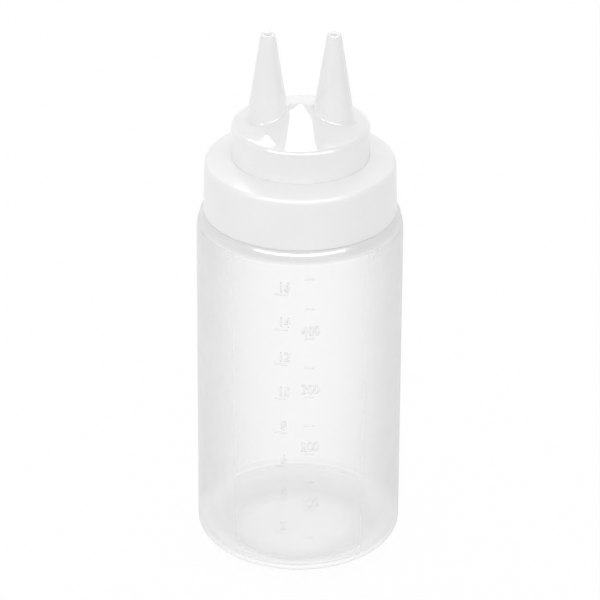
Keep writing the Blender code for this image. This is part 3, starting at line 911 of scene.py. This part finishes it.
def see_through(material, wall_group, cover):
    """Lets light through a wall: most where it is seen head-on, least in its thick shoulder and base."""
    tree = material.node_tree
    shader = tree.nodes["Principled BSDF"]
    wall = tree.nodes.new("ShaderNodeGroup")
    wall.node_tree = wall_group
    slant = facing(tree)
    milk = ranged(tree, slant, COVER_FACINGS, cover[:2], smooth=True)
    outline = ranged(tree, slant, CORNER_FACINGS, CORNER_HAZE)
    haze = mixed(tree, wall.outputs["Corner"], wall.outputs["Haze"], outline)
    thinner = ranged(tree, slant, BASE_MILK_FACINGS, (1.0, BASE_MILK_SLANTED))
    base_share = mixed(tree, wall.outputs["Rim"], 1.0, thinner)
    base_milk = maths(tree, "MULTIPLY", wall.outputs["Base Milk"], base_share)
    covered = maths(tree, "MULTIPLY_ADD", milk, haze, base_milk)
    alpha = mixed(tree, wall.outputs["Shoulder"], covered, cover[2])
    tree.links.new(alpha, shader.inputs["Alpha"])
    shine = shader.inputs["Coat Weight"].links[0].from_socket
    dulled = mixed(tree, wall.outputs["Floor"], shine, FLOOR_COAT_SHARE)
    tree.links.new(dulled, shader.inputs["Coat Weight"])


def paint_glow_in_tips(material):
    """Paints a glow by emission inside the nozzle bores near their tips, in place of the light that comes
    through the thin tips.
    """
    tree = material.node_tree
    shader = tree.nodes["Principled BSDF"]
    tip = LIP_Z + NOZZLE_TIP
    position = tree.nodes.new("ShaderNodeTexCoord").outputs["Object"]
    fold = tree.nodes.new("ShaderNodeVectorMath")
    fold.operation = "ABSOLUTE"
    from_nozzle = tree.nodes.new("ShaderNodeVectorMath")
    from_nozzle.operation = "SUBTRACT"
    from_nozzle.inputs[1].default_value = (NOZZLE_OFFSET, 0.0, 0.0)
    tree.links.new(position, fold.inputs[0])
    tree.links.new(fold.outputs["Vector"], from_nozzle.inputs[0])
    distance = off_axis(tree, from_nozzle.outputs["Vector"])
    height = upright(tree, position)
    # The bore widens downwards, so a distance is measured as if it were up at the tip
    at_rim = -NOZZLE_BORE_SLOPE * (tip - NOZZLE_RIM_ROUND)
    narrowing = maths(tree, "MULTIPLY_ADD", height, NOZZLE_BORE_SLOPE, at_rim)
    at_tip = maths(tree, "ADD", distance, narrowing)
    bore_edges = [NOZZLE_BORE_RADIUS + off for off in TIP_GLOW_OFF_BORE]
    in_bore = ranged(tree, at_tip, bore_edges)
    high = ranged(tree, height, [tip - depth for depth in TIP_GLOW_DEPTHS])
    lit = maths(tree, "MULTIPLY", in_bore, high)
    # Painted glow: emission in the bores near the tips, standing in for light through the thin walls
    glow = mixed(tree, lit, (0.0, 0.0, 0.0, 1.0), (TIP_GLOW, TIP_GLOW, TIP_GLOW, 1.0))
    shader.inputs["Emission Strength"].default_value = 1.0
    tree.links.new(glow, shader.inputs["Emission Color"])


def dress(piece, material):
    """Gives a piece its one material."""
    piece.data.materials.clear()
    piece.data.materials.append(material)


def make_camera():
    """The photograph's viewpoint: well above the bottle's middle, with a long lens."""
    camera = bpy.data.objects.new("camera", bpy.data.cameras.new("camera"))
    camera.data.lens = CAMERA_LENS
    camera.data.sensor_width = 36.0
    camera.data.clip_end = 20.0
    camera.location = CAMERA_PLACE
    aim = Vector(CAMERA_AIM) - camera.location
    turn = aim.to_track_quat("-Z", "Y").to_matrix()
    roll = Matrix.Rotation(math.radians(CAMERA_ROLL), 3, "Z")
    camera.rotation_euler = (turn @ roll).to_euler()
    bpy.context.scene.collection.objects.link(camera)
    bpy.context.scene.camera = camera


def seen_rays(tree):
    """A socket that is 1 on rays that show a surface to the camera, straight, mirrored or through glass."""
    path = tree.nodes.new("ShaderNodeLightPath")
    shown = maths(tree, "MAXIMUM", path.outputs["Is Camera Ray"], path.outputs["Is Glossy Ray"])
    return maths(tree, "MAXIMUM", shown, path.outputs["Is Transmission Ray"])


def make_world():
    """A white studio that is greyer overhead, with plain white behind the bottle."""
    world = bpy.data.worlds.new("studio")
    world.use_nodes = True
    tree = world.node_tree
    light = tree.nodes["Background"]
    light.inputs["Color"].default_value = (1.0, 1.0, 1.0, 1.0)
    white = tree.nodes.new("ShaderNodeBackground")
    white.inputs["Color"].default_value = (1.0, 1.0, 1.0, 1.0)
    white.inputs["Strength"].default_value = 1.0
    height = upright(tree, tree.nodes.new("ShaderNodeTexCoord").outputs["Generated"])
    level = ranged(tree, height, WORLD_HEIGHTS, (WORLD_LEVEL, WORLD_TOP_LEVEL), smooth=True)
    mix = tree.nodes.new("ShaderNodeMixShader")
    tree.links.new(level, light.inputs["Strength"])
    tree.links.new(seen_rays(tree), mix.inputs["Fac"])
    tree.links.new(light.outputs[0], mix.inputs[1])
    tree.links.new(white.outputs[0], mix.inputs[2])
    tree.links.new(mix.outputs[0], tree.nodes["World Output"].inputs["Surface"])
    bpy.context.scene.world = world


def make_floor():
    """A pale floor that shows white, with the object's faint shadow on it."""
    half = FLOOR_HALF
    corners = [(x, y, -FLOOR_DROP) for x, y in ((-half, -half), (half, -half), (half, half), (-half, half))]
    mesh = bpy.data.meshes.new("floor")
    mesh.from_pydata(corners, [], [(0, 1, 2, 3)])
    floor = bpy.data.objects.new("floor", mesh)
    bpy.context.scene.collection.objects.link(floor)
    material = bpy.data.materials.new("pale_floor")
    material.use_nodes = True
    tree = material.node_tree
    shader = tree.nodes["Principled BSDF"]
    shader.inputs["Base Color"].default_value = (FLOOR_TONE, FLOOR_TONE, FLOOR_TONE, 1.0)
    shader.inputs["Roughness"].default_value = 0.9
    shader.inputs["Specular IOR Level"].default_value = 0.0
    white = tree.nodes.new("ShaderNodeEmission")
    white.inputs["Strength"].default_value = 1.0
    mix = tree.nodes.new("ShaderNodeMixShader")
    share = maths(tree, "MULTIPLY", seen_rays(tree), FLOOR_WHITE_SHARE)
    tree.links.new(share, mix.inputs["Fac"])
    tree.links.new(shader.outputs[0], mix.inputs[1])
    tree.links.new(white.outputs[0], mix.inputs[2])
    tree.links.new(mix.outputs[0], tree.nodes["Material Output"].inputs["Surface"])
    mesh.materials.append(material)


def add_card(name, x, tone):
    """A grey card that stands beside the bottle, unseen, and takes a little light off that side."""
    near, far, top = -0.45, 0.35, 0.6
    mesh = bpy.data.meshes.new(name)
    mesh.from_pydata([(x, near, 0.0), (x, far, 0.0), (x, far, top), (x, near, top)], [], [(0, 1, 2, 3)])
    card = bpy.data.objects.new(name, mesh)
    bpy.context.scene.collection.objects.link(card)
    material = bpy.data.materials.new(name)
    material.use_nodes = True
    shader = material.node_tree.nodes["Principled BSDF"]
    shader.inputs["Base Color"].default_value = (tone, tone, tone, 1.0)
    shader.inputs["Roughness"].default_value = 0.9
    mesh.materials.append(material)
    card.visible_camera = False


def add_softbox(name, place, size, power):
    """A rectangular softbox that faces the bottle, and shows only in its gloss."""
    lamp = bpy.data.lights.new(name, "AREA")
    lamp.shape = "RECTANGLE"
    lamp.size, lamp.size_y = size
    lamp.energy = power
    box = bpy.data.objects.new(name, lamp)
    box.location = place
    aim = Vector(SOFTBOX_AIM) - Vector(place)
    box.rotation_euler = aim.to_track_quat("-Z", "Y").to_euler()
    box.visible_diffuse = False
    box.visible_transmission = False
    bpy.context.scene.collection.objects.link(box)


def main():
    """Builds the studio, the four dressed pieces and the scale."""
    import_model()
    make_camera()
    make_world()
    make_floor()
    add_card("grey_card_left", -CARD_DISTANCE, LEFT_CARD_TONE)
    add_card("grey_card_right", CARD_DISTANCE, RIGHT_CARD_TONE)
    for name, (place, size, power) in SOFTBOXES.items():
        add_softbox(name, place, size, power)

    grain_group = make_grain_group()
    mottle_group = make_mottle_group()
    wall_group = make_wall_group()
    bottle_plastic = milky_plastic("milky_bottle_plastic", grain_group, mottle_group, BOTTLE_FINISH)
    see_through(bottle_plastic, wall_group, BOTTLE_COVER)
    mark_plastic = milky_plastic("milky_mark_plastic", grain_group, mottle_group, BOTTLE_FINISH)
    see_through(mark_plastic, wall_group, MARK_COVER)
    collar_plastic = milky_plastic("milky_collar_plastic", grain_group, mottle_group, COLLAR_FINISH)
    head_plastic = milky_plastic("glossy_head_plastic", grain_group, mottle_group, HEAD_FINISH)
    paint_glow_in_tips(head_plastic)
    gasket_rubber = milky_plastic("gasket_rubber", grain_group, mottle_group, GASKET_FINISH)

    dress(make_bottle(), bottle_plastic)
    dress(make_scale("raised_ml_scale", ML_STEP, 10, ML_BAR, ML_NUMBERS, ML_NUMBER_X), mark_plastic)
    dress(make_scale("raised_oz_scale", OZ_STEP, 8, OZ_BAR, OZ_NUMBERS, OZ_NUMBER_X), mark_plastic)
    dress(make_collar(), collar_plastic)
    dress(make_gasket(), gasket_rubber)
    dress(make_head(), head_plastic)

    bpy.context.scene.view_settings.view_transform = "Standard"


main()
